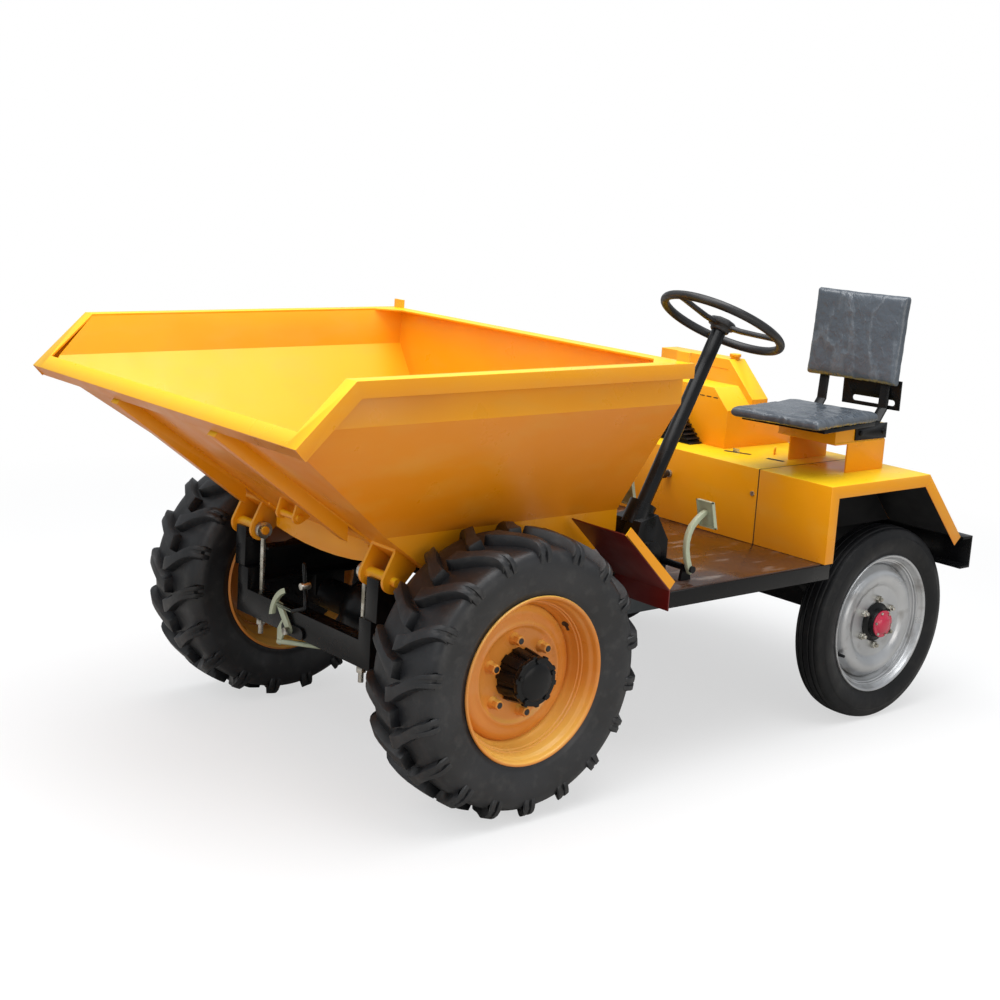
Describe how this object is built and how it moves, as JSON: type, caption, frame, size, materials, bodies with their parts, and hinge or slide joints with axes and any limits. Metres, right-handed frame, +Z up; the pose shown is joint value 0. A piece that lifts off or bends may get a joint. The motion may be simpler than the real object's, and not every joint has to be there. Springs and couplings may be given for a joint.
{
  "type": "site dumper",
  "caption": "Mini site dumper with a gravity-tipping skip over big drive wheels, open driving place and small steered rear wheels",
  "frame": {"origin": "centre of the bounding box on the ground", "axes": "+X forward over the skip's lip, +Y to the machine's left, +Z up; metres"},
  "size_m": [2.6, 1.39, 1.3326],
  "materials": {
    "paint": "gloss",
    "black_paint": "satin",
    "orange_paint": "gloss",
    "silver_paint": "satin",
    "red_paint": "gloss",
    "floor_paint": "gloss",
    "primer": "matte",
    "grey_green_paint": "satin",
    "engine_metal": "satin",
    "zinc": "satin",
    "tyre": "matte",
    "vinyl": "satin",
    "grip": "satin"
  },
  "bodies": {
    "chassis": {"cooling_louvre": "black_paint", "driveline": "engine_metal", "engine_block": "engine_metal", "engine_hood": "paint", "eye_rod_left": "zinc", "eye_rod_right": "zinc", "fender_left": "paint", "fender_right": "paint", "floor_plate": "floor_paint", "frame_rails": "black_paint", "front_axle": "black_paint", "front_crossbeam": "black_paint", "kick_plate_left": "primer", "kick_plate_right": "primer", "pedals": "grey_green_paint", "rear_axle": "black_paint", "rear_body": "paint", "seat_back": "vinyl", "seat_cushion": "vinyl", "seat_frame": "black_paint", "seat_stand": "paint", "skip_latch": "grey_green_paint", "steering_column": "black_paint"},
    "skip": {"skip_shell": "paint", "skip_rim": "paint", "skip_underframe_left": "paint", "skip_underframe_right": "paint"},
    "front_wheel_left": {"front_tyre_left": "tyre", "front_rim_left": "orange_paint", "front_hub_left": "black_paint"},
    "front_wheel_right": {"front_tyre_right": "tyre", "front_rim_right": "orange_paint", "front_hub_right": "black_paint"},
    "steer_knuckle_left": {"knuckle_left": "black_paint"},
    "steer_knuckle_right": {"knuckle_right": "black_paint"},
    "rear_wheel_left": {"rear_tyre_left": "tyre", "rear_rim_left": "silver_paint", "rear_cap_left": "red_paint"},
    "rear_wheel_right": {"rear_tyre_right": "tyre", "rear_rim_right": "silver_paint", "rear_cap_right": "red_paint"},
    "track_rod": {"tie_rod": "black_paint"},
    "pitman_arm": {"drop_arm": "black_paint"},
    "steering_rod": {"drag_link": "black_paint"},
    "hand_wheel": {"steering_wheel": "grip"}
  },
  "joints": [
    {"name": "skip_tip", "type": "hinge", "parent": "chassis", "child": "skip", "pos_m": [0.799, 0, 0.594], "axis": [0, 1, 0], "range_deg": [0, 70]},
    {"name": "front_left_roll", "type": "hinge", "parent": "chassis", "child": "front_wheel_left", "pos_m": [0.566, 0.565, 0.378], "axis": [0, 1, 0], "continuous": true},
    {"name": "front_right_roll", "type": "hinge", "parent": "chassis", "child": "front_wheel_right", "pos_m": [0.566, -0.565, 0.378], "axis": [0, 1, 0], "continuous": true},
    {"name": "steer_left", "type": "hinge", "parent": "chassis", "child": "steer_knuckle_left", "pos_m": [-0.914, 0.455, 0.308], "axis": [0, 0, 1], "range_deg": [-30, 30]},
    {"name": "steer_right", "type": "hinge", "parent": "chassis", "child": "steer_knuckle_right", "pos_m": [-0.914, -0.455, 0.308], "axis": [0, 0, 1], "range_deg": [-30, 30]},
    {"name": "rear_left_roll", "type": "hinge", "parent": "steer_knuckle_left", "child": "rear_wheel_left", "pos_m": [-0.914, 0.581, 0.308], "axis": [0, 1, 0], "continuous": true},
    {"name": "rear_right_roll", "type": "hinge", "parent": "steer_knuckle_right", "child": "rear_wheel_right", "pos_m": [-0.914, -0.581, 0.308], "axis": [0, 1, 0], "continuous": true},
    {"name": "track_rod_eye", "type": "hinge", "parent": "steer_knuckle_left", "child": "track_rod", "pos_m": [-1.034, 0.455, 0.372], "axis": [0, 0, 1], "range_deg": [-30, 30]},
    {"name": "pitman_swing", "type": "hinge", "parent": "chassis", "child": "pitman_arm", "pos_m": [-0.034, 0.455, 0.5], "axis": [0, 0, 1], "range_deg": [-30, 30]},
    {"name": "steering_rod_eye", "type": "hinge", "parent": "pitman_arm", "child": "steering_rod", "pos_m": [-0.034, 0.335, 0.441], "axis": [0, 0, 1], "range_deg": [-30, 30]},
    {"name": "hand_wheel_turn", "type": "hinge", "parent": "chassis", "child": "hand_wheel", "pos_m": [-0.262, 0.44, 1.219], "axis": [-0.4612, 0, 0.8873], "range_deg": [-450, 450]}
  ],
  "couplings": [
    {"joint": "steer_right", "follows": "steer_left", "ratio": 1},
    {"joint": "track_rod_eye", "follows": "steer_left", "ratio": -1},
    {"joint": "pitman_swing", "follows": "steer_left", "ratio": 1},
    {"joint": "steering_rod_eye", "follows": "steer_left", "ratio": -1},
    {"joint": "hand_wheel_turn", "follows": "steer_left", "ratio": -15}
  ]
}
